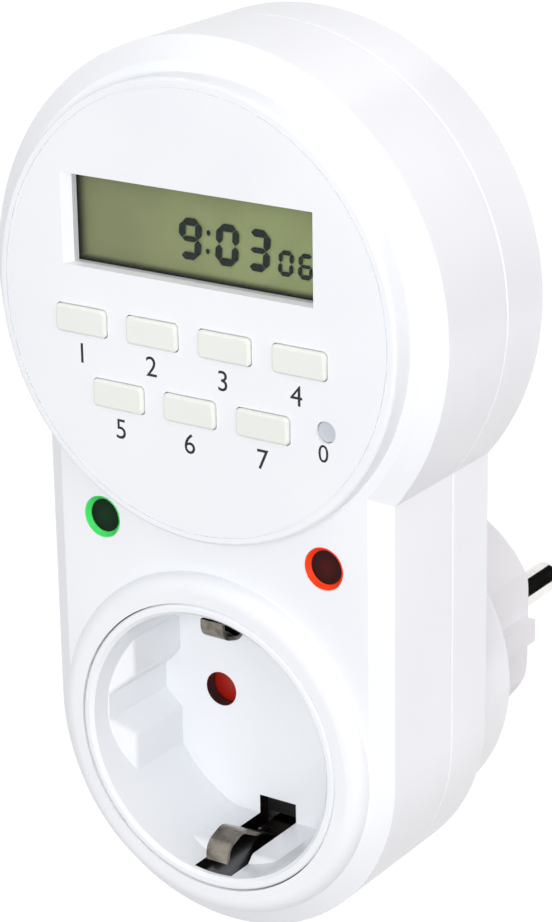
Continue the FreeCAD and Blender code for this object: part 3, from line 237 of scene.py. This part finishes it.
class Finish:
    # A material on one Principled shader that reads Object coordinates, with short calls for
    # its nodes.
    def __init__(self, name, roughness, metallic=0.0, specular=0.5, coat=0.0):
        self.material = bpy.data.materials.new(name)
        self.material.use_nodes = True
        self.nodes = self.material.node_tree.nodes
        self.links = self.material.node_tree.links
        self.nodes.clear()
        self.shader = self.nodes.new("ShaderNodeBsdfPrincipled")
        self.out = self.nodes.new("ShaderNodeOutputMaterial")
        self.links.new(self.shader.outputs[0], self.out.inputs[0])
        self.place = self.nodes.new("ShaderNodeTexCoord").outputs["Object"]
        self.set("Roughness", roughness)
        self.set("Metallic", metallic)
        self.set("Specular IOR Level", specular)
        self.set("Coat Weight", coat)
        self.set("Coat Roughness", 0.1)      # the same on every coat

    def set(self, socket, value):
        self.shader.inputs[socket].default_value = value

    def into(self, output, socket):
        self.links.new(output, self.shader.inputs[socket])

    def mapped(self, scale):
        node = self.nodes.new("ShaderNodeMapping")
        node.inputs["Scale"].default_value = scale
        self.links.new(self.place, node.inputs["Vector"])
        return node.outputs[0]

    def noise(self, scale, detail=3.0, rough=0.5, vector=None):
        node = self.nodes.new("ShaderNodeTexNoise")
        node.inputs["Scale"].default_value = scale
        node.inputs["Detail"].default_value = detail
        node.inputs["Roughness"].default_value = rough
        self.links.new(vector or self.place, node.inputs["Vector"])
        return node.outputs["Fac"]

    def cells(self, scale):
        node = self.nodes.new("ShaderNodeTexVoronoi")
        node.inputs["Scale"].default_value = scale
        self.links.new(self.place, node.inputs["Vector"])
        return node.outputs["Distance"]

    def ranged(self, value, low, high, fromLow=0.0, fromHigh=1.0, smooth=False):
        node = self.nodes.new("ShaderNodeMapRange")
        node.interpolation_type = "SMOOTHSTEP" if smooth else "LINEAR"
        sockets = ("From Min", "From Max", "To Min", "To Max")
        for name, number in zip(sockets, (fromLow, fromHigh, low, high)):
            node.inputs[name].default_value = number
        self.links.new(value, node.inputs["Value"])
        return node.outputs["Result"]

    def math(self, operation, first, second=0.0):
        node = self.nodes.new("ShaderNodeMath")
        node.operation = operation
        for index, value in enumerate((first, second)):
            if isinstance(value, (int, float)):
                node.inputs[index].default_value = value
            else:
                self.links.new(value, node.inputs[index])
        return node.outputs[0]

    def blend(self, factor, first, second):
        node = self.nodes.new("ShaderNodeMix")
        node.data_type = "RGBA"
        for socket, value in ((node.inputs[mixFirst], first), (node.inputs[mixSecond], second)):
            if isinstance(value, tuple):
                socket.default_value = value
            else:
                self.links.new(value, socket)
        self.links.new(factor, node.inputs[0])
        return node.outputs[mixOut]

    def bump(self, height, distance, strength, after=None):
        node = self.nodes.new("ShaderNodeBump")
        node.inputs["Distance"].default_value = distance
        node.inputs["Strength"].default_value = strength
        self.links.new(height, node.inputs["Height"])
        if after:
            self.links.new(after, node.inputs["Normal"])
        self.links.new(node.outputs[0], self.shader.inputs["Normal"])
        return node.outputs[0]

    def axes(self):
        node = self.nodes.new("ShaderNodeSeparateXYZ")
        self.links.new(self.place, node.inputs[0])
        return node.outputs

    def away(self, across, up):
        # Distance from a line that runs in depth, at one place across and up.
        x, y, z = self.axes()
        squareX = self.math("POWER", self.math("SUBTRACT", x, across), 2.0)
        squareZ = self.math("POWER", self.math("SUBTRACT", z, up), 2.0)
        return self.math("SQRT", self.math("ADD", squareX, squareZ))

    def grained(self, glossScale, low, high, grainScale, detail, depth, strength):
        # The gloss wanders between two roughnesses, and a fine grain breaks it up.
        self.into(self.ranged(self.noise(glossScale), low, high), "Roughness")
        self.bump(self.noise(grainScale, detail), depth, strength)


moulding = {
    "driftScale": 38.0,
    "glossScale": 70.0,
    "glossSpread": 0.05,
    "sparkScale": 3400.0,
    "sparkStrength": 0.3,
}


def mouldedPlastic(name, color, shade, roughness, grain=0.000006, coat=0.0, paintedShade=None):
    # Slow colour drift, a trace of uneven gloss and a fine spark-eroded grain.
    finish = Finish(name, roughness, coat=coat)
    drift = finish.ranged(finish.noise(moulding["driftScale"], 2.0), 0.0, 1.0, *middle, True)
    tone = finish.blend(drift, color, shade)
    # Painted shade: where masks are given, their dark colours are laid over the colour.
    for mask, dark in paintedShade(finish) if paintedShade else ():
        tone = finish.blend(mask, tone, dark)
    finish.into(tone, "Base Color")
    gloss = finish.noise(moulding["glossScale"], 2.0)
    low, high = (roughness * (1 + side * moulding["glossSpread"]) for side in (-1, 1))
    finish.into(finish.ranged(gloss, low, high, *middle, True), "Roughness")
    finish.bump(finish.noise(moulding["sparkScale"], 2.0), grain, moulding["sparkStrength"])
    return finish.material


def recessShade(finish):
    # Painted shade: the clip slots and the pin holes are painted black inside, as hardly any light
    # gets in.
    x, y, z = finish.axes()
    narrow = finish.math("LESS_THAN", finish.math("ABSOLUTE", x), socket["slotHalf"])
    outer = finish.math("GREATER_THAN", finish.math("ABSOLUTE", z), socket["slotInner"])
    behind = finish.math("GREATER_THAN", y, socket["slotFront"])
    slots = finish.math("MULTIPLY", finish.math("MULTIPLY", narrow, outer), behind)
    below = finish.math("GREATER_THAN", y, socket["floorFront"])
    holes = 0.0
    for side in (-1, 1):
        away = finish.away(side * socket["pinAcross"], 0.0)
        inside = finish.math("LESS_THAN", away, socket["holeRadius"])
        holes = finish.math("MAXIMUM", holes, inside)
    holes = finish.math("MULTIPLY", holes, below)
    return (slots, socket["slotPaintedShade"]), (holes, socket["holePaintedShade"])


rolling = {
    "tarnishScale": 260.0,
    "tarnishRange": (0.35, 0.7),
    "pitScale": 1800.0,
    "glossShares": (0.7, 1.5),
    "lineDepth": 0.02 * mm,
    "pitDepth": 0.01 * mm,
}


def rolledMetal(name, color, shade, roughness, stretch=(60, 900, 900)):
    # Rolling lines along one way, with clouds of tarnish and small pits.
    finish = Finish(name, roughness, metallic=1.0)
    lines = finish.noise(1.0, 4.0, 0.65, finish.mapped(stretch))
    tarnish = finish.noise(rolling["tarnishScale"], 4.0, 0.6)
    cloud = finish.ranged(tarnish, 0.0, 1.0, *rolling["tarnishRange"], True)
    finish.into(finish.blend(cloud, color, shade), "Base Color")
    low, high = (roughness * share for share in rolling["glossShares"])
    finish.into(finish.ranged(lines, low, high, *middle), "Roughness")
    first = finish.bump(lines, rolling["lineDepth"], 0.5)
    finish.bump(finish.cells(rolling["pitScale"]), rolling["pitDepth"], 0.25, first)
    return finish.material


laminate = {
    "threads": 7800.0,                   # radians in a metre
    "landScale": 420.0,
    "landRange": (0.25, 0.4),
    "glossScale": 500.0,
    "glossRange": (0.34, 0.5),
    "clothDepth": 0.01 * mm,
}


def laminateBoard(name, color, shade):
    # Glass cloth under resist: two crossed sets of threads, and darker lands in coarse cells.
    finish = Finish(name, 0.42, coat=0.3)
    x, y, z = finish.axes()
    warp = finish.math("SINE", finish.math("MULTIPLY", x, laminate["threads"]))
    weft = finish.math("SINE", finish.math("MULTIPLY", z, laminate["threads"]))
    lands = finish.ranged(finish.cells(laminate["landScale"]), 0.0, 1.0, *laminate["landRange"])
    gloss = finish.ranged(finish.noise(laminate["glossScale"]), *laminate["glossRange"])
    finish.into(finish.blend(lands, shade, color), "Base Color")
    finish.into(gloss, "Roughness")
    finish.bump(finish.math("MULTIPLY", warp, weft), laminate["clothDepth"], 0.5)
    return finish.material


rubberGrain = {"glossScale": 900.0, "low": 0.62, "high": 0.82, "grainScale": 5200.0,
               "detail": 3.0, "depth": 0.015 * mm, "strength": 0.6}


def softRubber(name, color, shade):
    finish = Finish(name, 0.72, specular=0.3)
    finish.set("Sheen Weight", 0.2)
    finish.into(finish.blend(finish.noise(120.0), color, shade), "Base Color")
    finish.grained(**rubberGrain)
    return finish.material


clearPanel = {
    "tone": (0.3, 0.32, 0.3, 1),
    "shade": (0.26, 0.28, 0.26, 1),
    "toneScale": 60.0,
    "alpha": 0.02,
    "waveScale": 140.0,
    "waveDepth": 0.01 * mm,
}


def clearWindow(name):
    # A thin clear panel: mostly see-through, with its gloss and a trace of moulding waves.
    finish = Finish(name, 0.05, specular=0.55)
    cloud = finish.noise(clearPanel["toneScale"])
    finish.into(finish.blend(cloud, clearPanel["tone"], clearPanel["shade"]), "Base Color")
    finish.set("Alpha", clearPanel["alpha"])
    finish.bump(finish.noise(clearPanel["waveScale"], 1.0), clearPanel["waveDepth"], 0.1)
    return finish.material


crystalGrain = {"glossScale": 700.0, "low": 0.42, "high": 0.58, "grainScale": 9000.0,
                "detail": 2.0, "depth": 0.008 * mm, "strength": 0.4}


def liquidCrystalBack(name, sizes):
    # Olive reflector with painted light, lighter towards the right, and a painted soft shadow of
    # the window frame along its left and bottom edges.
    finish = Finish(name, 0.5, specular=0.25)
    x, y, z = finish.axes()
    # Painted light: the colour grows lighter towards the right.
    paintedLightRamp = finish.ranged(x, 0.0, 1.0, -sizes["toneReach"], sizes["toneReach"], True)
    tone = finish.blend(paintedLightRamp, sizes["leftTone"], sizes["rightLitTone"])
    cloud = finish.noise(sizes["cloudScale"], 2.0)
    cloud = finish.ranged(cloud, 0.0, sizes["cloudShare"], *sizes["cloudRange"], True)
    tone = finish.blend(cloud, tone, sizes["cloudTone"])
    # Painted shadow of the window frame: darker towards the left and bottom edges.
    leftShadow = finish.ranged(x, 1.0, 0.0, sizes["leftDark"], sizes["leftClear"], True)
    bottomShadow = finish.ranged(z, 1.0, 0.0, sizes["bottomDark"], sizes["bottomClear"], True)
    edge = finish.math("MAXIMUM", leftShadow, bottomShadow)
    finish.into(finish.blend(edge, tone, sizes["edgeShadowTone"]), "Base Color")
    finish.grained(**crystalGrain)
    return finish.material


cupGrain = {"glossScale": 900.0, "low": 0.16, "high": 0.3, "grainScale": 1500.0,
            "detail": 3.0, "depth": 0.01 * mm, "strength": 0.4}


def tintedCup(name, across, rim, rimShade, wellPaintedShade, wellPaintedGlow):
    # Bright see-through rim round a hollow whose floor is painted shade, nearly black, with a
    # painted glow in its middle.
    finish = Finish(name, 0.22, specular=0.12)
    floor, soft = indicator["floorRadius"], indicator["edge"]
    radius = finish.away(across, indicator["up"])
    onRim = finish.ranged(radius, 0.0, 1.0, floor - soft, floor + soft, True)
    bright = finish.blend(finish.noise(indicator["rimScale"]), rim, rimShade)
    # The hollow's floor is painted: a painted glow in the middle fades to painted shade at its
    # side.
    depth = finish.ranged(radius, 0.0, 1.0, 0.0, floor, True)
    tone = finish.blend(onRim, finish.blend(depth, wellPaintedGlow, wellPaintedShade), bright)
    finish.into(tone, "Base Color")
    # Painted glow: the cup gives out its own colour as light, though it is no lamp.
    finish.into(tone, "Emission Color")
    finish.set("Emission Strength", indicator["paintedGlow"])
    finish.grained(**cupGrain)
    return finish.material


resinGrain = {"glossScale": 800.0, "grainScale": 2600.0, "detail": 2.0, "depth": 0.01 * mm,
              "strength": 0.5}


def castResin(name, color, shade, roughness=0.25):
    finish = Finish(name, roughness, coat=0.4)
    cloud = finish.ranged(finish.noise(350.0), 0.0, 1.0, 0.35, 0.65)
    finish.into(finish.blend(cloud, color, shade), "Base Color")
    finish.grained(low=roughness * 0.8, high=roughness * 1.3, **resinGrain)
    return finish.material


inkGrain = {"glossScale": 2400.0, "low": 0.4, "high": 0.62, "grainScale": 6000.0,
            "detail": 3.0, "depth": 0.004 * mm, "strength": 0.5}


def printedInk(name, color, shade, specular=0.35):
    finish = Finish(name, 0.5, specular=specular)
    finish.into(finish.blend(finish.noise(1400.0, 2.0), color, shade), "Base Color")
    finish.grained(**inkGrain)
    return finish.material


white = linear(244, 247, 250)
whiteShade = linear(240, 243, 247)
plugWhite = linear(238, 238, 241)
plugShade = linear(233, 233, 236)

indicator = {
    "across": 18.2 * mm,
    "up": 29.8 * mm,
    "floorRadius": 2.4 * mm,
    "edge": 0.06 * mm,
    "rimScale": 900.0,
    "paintedGlow": 0.12,
}

socket = {
    "slotHalf": 3.11 * mm,
    "slotInner": 15.19 * mm,
    "slotFront": -60.35 * mm,
    # The slot and hole colours are painted shade, since hardly any light gets into them.
    "slotPaintedShade": linear(22, 18, 18),
    "floorFront": -43.85 * mm,
    "pinAcross": 9.5 * mm,
    "holeRadius": 2.65 * mm,
    "holePaintedShade": linear(44, 40, 42),
}

display = {
    # Painted light: the right colour is lighter than the left.
    "leftTone": linear(136, 143, 102),
    "rightLitTone": linear(158, 171, 116),
    "cloudTone": linear(122, 129, 90),
    # The edge colour and the four edge places below are a painted shadow of the window frame.
    "edgeShadowTone": linear(34, 36, 30),
    "toneReach": 19 * mm,
    "cloudScale": 130.0,
    "cloudShare": 0.35,
    "cloudRange": (0.3, 0.75),
    "leftDark": -20.3 * mm,
    "leftClear": -18.2 * mm,
    "bottomDark": headHeight + 4.2 * mm,
    "bottomClear": headHeight + 5.4 * mm,
}

finishes = {
    "casePlastic": mouldedPlastic("casePlastic", white, whiteShade, 0.3, coat=0.15),
    "socketPlastic": mouldedPlastic("socketPlastic", white, whiteShade, 0.26, coat=0.2,
                                    paintedShade=recessShade),
    "plugPlastic": mouldedPlastic("plugPlastic", plugWhite, plugShade, 0.34),
    "innerPlastic": mouldedPlastic("innerPlastic", linear(226, 226, 222),
                                   linear(216, 216, 212), 0.45),
    "buttonPlastic": mouldedPlastic("buttonPlastic", linear(237, 241, 234),
                                    linear(233, 237, 230), 0.42),
    "resetPlastic": mouldedPlastic("resetPlastic", linear(206, 211, 217),
                                   linear(198, 203, 210), 0.5),
    "blackPlastic": mouldedPlastic("blackPlastic", linear(26, 26, 27), linear(36, 36, 38), 0.45,
                                   0.01 * mm),
    "relayPlastic": mouldedPlastic("relayPlastic", linear(24, 66, 140), linear(18, 54, 120),
                                   0.35),
    "shutterPlastic": mouldedPlastic("shutterPlastic", linear(172, 26, 8), linear(132, 30, 18),
                                     0.4, 0.01 * mm),
    "brownSleeve": mouldedPlastic("brownSleeve", linear(104, 62, 38), linear(92, 54, 32), 0.5),
    "blueSleeve": mouldedPlastic("blueSleeve", linear(46, 96, 178), linear(38, 84, 160), 0.5),
    "window": clearWindow("window"),
    "crystalBack": liquidCrystalBack("crystalBack", display),
    "stripRubber": softRubber("stripRubber", linear(200, 120, 140), linear(214, 150, 162)),
    "matRubber": softRubber("matRubber", linear(216, 218, 216), linear(204, 207, 205)),
    "controlLaminate": laminateBoard("controlLaminate", linear(24, 104, 52), linear(40, 130, 66)),
    "powerLaminate": laminateBoard("powerLaminate", linear(176, 136, 84), linear(196, 156, 100)),
    "screwSteel": rolledMetal("screwSteel", linear(196, 196, 192), linear(170, 168, 160), 0.34),
    "tinnedSteel": rolledMetal("tinnedSteel", linear(206, 206, 204), linear(186, 186, 182), 0.3),
    "springSteel": rolledMetal("springSteel", linear(170, 172, 176), linear(140, 142, 146), 0.3),
    "contactBrass": rolledMetal("contactBrass", linear(214, 176, 98), linear(190, 148, 76), 0.3),
    "clipMetal": rolledMetal("clipMetal", linear(150, 144, 134), linear(84, 78, 70), 0.2),
    "pinMetal": rolledMetal("pinMetal", linear(238, 237, 234), linear(226, 224, 220), 0.1,
                            (900, 60, 900)),
    "filmResin": castResin("filmResin", linear(170, 62, 34), linear(156, 52, 28)),
    "canSleeve": castResin("canSleeve", linear(28, 34, 54), linear(36, 42, 62)),
    "varistorResin": castResin("varistorResin", linear(30, 92, 170), linear(24, 80, 150)),
    "resistorResin": castResin("resistorResin", linear(120, 160, 158), linear(104, 146, 144), 0.5),
    "greenResin": castResin("greenResin", linear(54, 150, 70), linear(40, 128, 56)),
    "redResin": castResin("redResin", linear(180, 30, 18), linear(150, 20, 12)),
    # Each cup's last two colours are painted shade and a painted glow in its hollow.
    "greenCup": tintedCup("greenCup", -indicator["across"], linear(62, 218, 96),
                          linear(84, 230, 116), linear(0, 24, 8), linear(0, 44, 16)),
    "redCup": tintedCup("redCup", indicator["across"], linear(255, 58, 18),
                        linear(255, 74, 34), linear(34, 6, 4), linear(66, 8, 5)),
    "ink": printedInk("ink", linear(22, 22, 24), linear(40, 40, 42)),
    "segmentInk": printedInk("segmentInk", linear(26, 38, 34), linear(34, 46, 42), 0.0),
}

nodeFinish = {
    "casePlastic": ("front_shell", "rear_shell", "display_panel"),
    "socketPlastic": ("socket_insert",),
    "plugPlastic": ("plug_body",),
    "innerPlastic": ("lcd_holder", "board_pillars"),
    "buttonPlastic": tuple(f"button_{number}" for number in range(1, 8)),
    "resetPlastic": ("reset_button",),
    "blackPlastic": ("reset_switch", "controller_chip", "board_header", "rectifier_diodes",
                     "contact_carrier"),
    "relayPlastic": ("relay",),
    "shutterPlastic": ("shutter",),
    "brownSleeve": ("line_lead", "switched_lead"),
    "blueSleeve": ("neutral_lead", "neutral_socket_lead"),
    "window": ("display_lens",),
    "crystalBack": ("lcd_panel",),
    "stripRubber": ("zebra_strip",),
    "matRubber": ("key_mat",),
    "controlLaminate": ("control_board",),
    "powerLaminate": ("power_board",),
    "screwSteel": ("case_screws", "board_screws"),
    "tinnedSteel": ("crystal", "backup_cell", "cell_tabs"),
    "springSteel": ("shutter_spring",),
    "contactBrass": ("line_contact", "neutral_contact", "earth_rivet"),
    "clipMetal": ("socket_earth_strap", "plug_earth_strap"),
    "pinMetal": ("line_pin", "neutral_pin"),
    "filmResin": ("dropper_capacitor",),
    "canSleeve": ("smoothing_capacitor",),
    "varistorResin": ("varistor",),
    "resistorResin": ("fusible_resistor",),
    "greenResin": ("green_lamp",),
    "redResin": ("red_lamp",),
    "greenCup": ("green_indicator_lens",),
    "redCup": ("red_indicator_lens",),
}


def finishNodes():
    done = set()
    for finish, names in nodeFinish.items():
        for name in names:
            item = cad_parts[name]
            item.data.materials.clear()
            item.data.materials.append(finishes[finish])
            done.add(name)
    missing = set(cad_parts) - done
    if missing:
        raise RuntimeError("no finish: " + ", ".join(sorted(missing)))


finishNodes()
print("CAD nodes finished")


def newPiece(name, points, faces, finish):
    mesh = bpy.data.meshes.new(name)
    mesh.from_pydata(np.asarray(points, float).tolist(), [], [tuple(face) for face in faces])
    mesh.update()
    mesh.materials.append(finishes[finish])
    item = bpy.data.objects.new(name, mesh)
    bpy.context.collection.objects.link(item)
    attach(item, root)
    return item


def plates(outlines, front, back):
    # A plate is its outline at the front depth and again at the back depth, joined by a ring of
    # four-sided faces. The outlines are rows of (across, up), anticlockwise from the front.
    points, faces = [], []
    for outline in outlines:
        start = sum(len(block) for block in points)
        count = len(outline)
        flat = np.asarray(outline, float)
        for depth in (front, back):
            points.append(np.column_stack((flat[:, 0], np.full(count, depth), flat[:, 1])))
        ring = np.arange(count)
        faces.append(list(start + ring))
        faces.append(list(start + count + ring[::-1]))
        following = (ring + 1) % count
        sides = (ring, count + ring, count + following, following)
        faces.extend((start + np.column_stack(sides)).tolist())
    return np.vstack(points), faces


cell = {                                 # "big" and "small" hold figures with their places in mm
    "reflectorFront": -59.4 * mm,
    "segmentFront": -59.66 * mm,
    "segmentBack": -59.64 * mm,
    "slant": 0.07,
    "bigSize": (3.6 * mm, 5.65 * mm, 1.05 * mm),
    "smallSize": (2.3 * mm, 3.45 * mm, 0.62 * mm),
    "big": (("9", -3.62), ("0", 2.25), ("3", 7.1)),
    "small": (("0", 12.05), ("6", 15.1)),
    "base": headHeight + 6.72 * mm,
    "colonAcross": 1.05 * mm,
    "colonUps": (1.55 * mm, 4.05 * mm),
    "colonSize": 0.6 * mm,
    "gap": 0.04 * mm,
    "middleShare": 0.72,                 # thickness of the middle bar over that of the others
    "colonHeight": 1.25,                 # height of a colon dot over its width
    "colonCorners": 12,
    "cornerCut": 0.35 * mm,
    "glassThickness": 0.18 * mm,
}

segmentsOf = {"0": "abcdef", "3": "abcdg", "6": "acdefg", "9": "abcdfg"}


def segmentOutlines(figure, left, base, size):
    # Seven bars on two squares. A bar is a six-sided plate, pointed at both ends, that leans to
    # the right by the slant times its height.
    width, height, stroke = size
    half, gap = stroke / 2, cell["gap"]
    x0, x1 = half, width - half
    z0, z1, z2 = half, height / 2, height - half
    bars = {"a": ((x0, z2), (x1, z2)), "g": ((x0, z1), (x1, z1)), "d": ((x0, z0), (x1, z0)),
            "f": ((x0, z1), (x0, z2)), "b": ((x1, z1), (x1, z2)), "e": ((x0, z0), (x0, z1)),
            "c": ((x1, z0), (x1, z1))}
    outlines = []
    for letter in segmentsOf[figure]:
        start, end = (np.array(point) for point in bars[letter])
        along = (end - start) / np.linalg.norm(end - start)
        beside = np.array((-along[1], along[0]))
        outer = half * (cell["middleShare"] if letter == "g" else 1.0)
        tip, shoulder = along * gap, along * (half + gap)
        rows = np.array([start + tip, start + shoulder - beside * outer,
                         end - shoulder - beside * outer, end - tip,
                         end - shoulder + beside * outer, start + shoulder + beside * outer])
        rows[:, 0] += left + rows[:, 1] * cell["slant"]
        rows[:, 1] += base
        outlines.append(rows)
    return outlines


def makeDisplay():
    low, high = (np.array(corner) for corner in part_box("lcd_panel"))
    cut = cell["cornerCut"]
    left, bottom, right, top = low[0], low[2], high[0], high[2]
    outline = [(left, bottom + cut), (left + cut, bottom), (right - cut, bottom),
               (right, bottom + cut), (right, top - cut), (right - cut, top), (left + cut, top),
               (left, top - cut)]
    points, faces = plates([outline], cell["reflectorFront"], high[1])
    back = newPiece("crystalCell", points, faces, "crystalBack")
    points, faces = plates([outline], low[1], low[1] + cell["glassThickness"])
    newPiece("crystalGlass", points, faces, "window")
    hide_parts("lcd_panel")
    outlines = []
    for size in ("big", "small"):
        for figure, across in cell[size]:
            outlines += segmentOutlines(figure, across * mm, cell["base"], cell[size + "Size"])
    turn = np.linspace(0, 2 * np.pi, cell["colonCorners"], endpoint=False)
    radius = cell["colonSize"] / 2
    for up in cell["colonUps"]:
        across = cell["colonAcross"] + radius * np.cos(turn) + up * cell["slant"]
        height = cell["base"] + up + cell["colonHeight"] * radius * np.sin(turn)
        outlines.append(np.column_stack((across, height)))
    points, faces = plates(outlines, cell["segmentFront"], cell["segmentBack"])
    newPiece("crystalFigures", points, faces, "segmentInk")


makeDisplay()
print("display made")

printing = {                             # "places" holds figures with their places in mm
    "size": 4.0 * mm,
    "thickness": 0.02 * mm,
    "face": -62.5 * mm,
    "lift": 0.004 * mm,
    "places": (("1", -17.88, -9.3), ("2", -6.39, -9.3), ("3", 5.1, -9.3), ("4", 16.58, -9.3),
               ("5", -11.74, -19.0), ("6", -0.47, -19.0), ("7", 11.13, -19.0), ("0", 20.6, -16.2)),
    "resetScale": 0.85,
}


def numberMesh(figure, size):
    # The outline font's figure, as a flat mesh that stands on its base line with its middle at
    # zero.
    curve = bpy.data.curves.new("figure", "FONT")
    curve.body = figure
    curve.size = size
    curve.align_x = "CENTER"
    curve.extrude = printing["thickness"] / 2
    item = bpy.data.objects.new("figure", curve)
    bpy.context.collection.objects.link(item)
    bpy.context.view_layer.update()
    solid = item.evaluated_get(bpy.context.evaluated_depsgraph_get())
    mesh = bpy.data.meshes.new_from_object(solid)
    bpy.data.objects.remove(item)
    points = np.empty(len(mesh.vertices) * 3)
    mesh.vertices.foreach_get("co", points)
    return points.reshape(-1, 3), [tuple(face.vertices) for face in mesh.polygons]


def makeNumbers():
    allPoints, allFaces, count = [], [], 0
    for figure, across, up in printing["places"]:
        size = printing["size"] * (printing["resetScale"] if figure == "0" else 1.0)
        points, faces = numberMesh(figure, size)
        # The figure's own plane is turned to stand upright, facing the front.
        depth = printing["face"] - points[:, 2] - printing["lift"]
        allPoints.append(np.column_stack((points[:, 0] + across * mm, depth,
                                          points[:, 1] + headHeight + up * mm)))
        allFaces += [tuple(index + count for index in face) for face in faces]
        count += len(points)
    newPiece("buttonNumbers", np.vstack(allPoints), allFaces, "ink")


makeNumbers()
print("numbers printed")
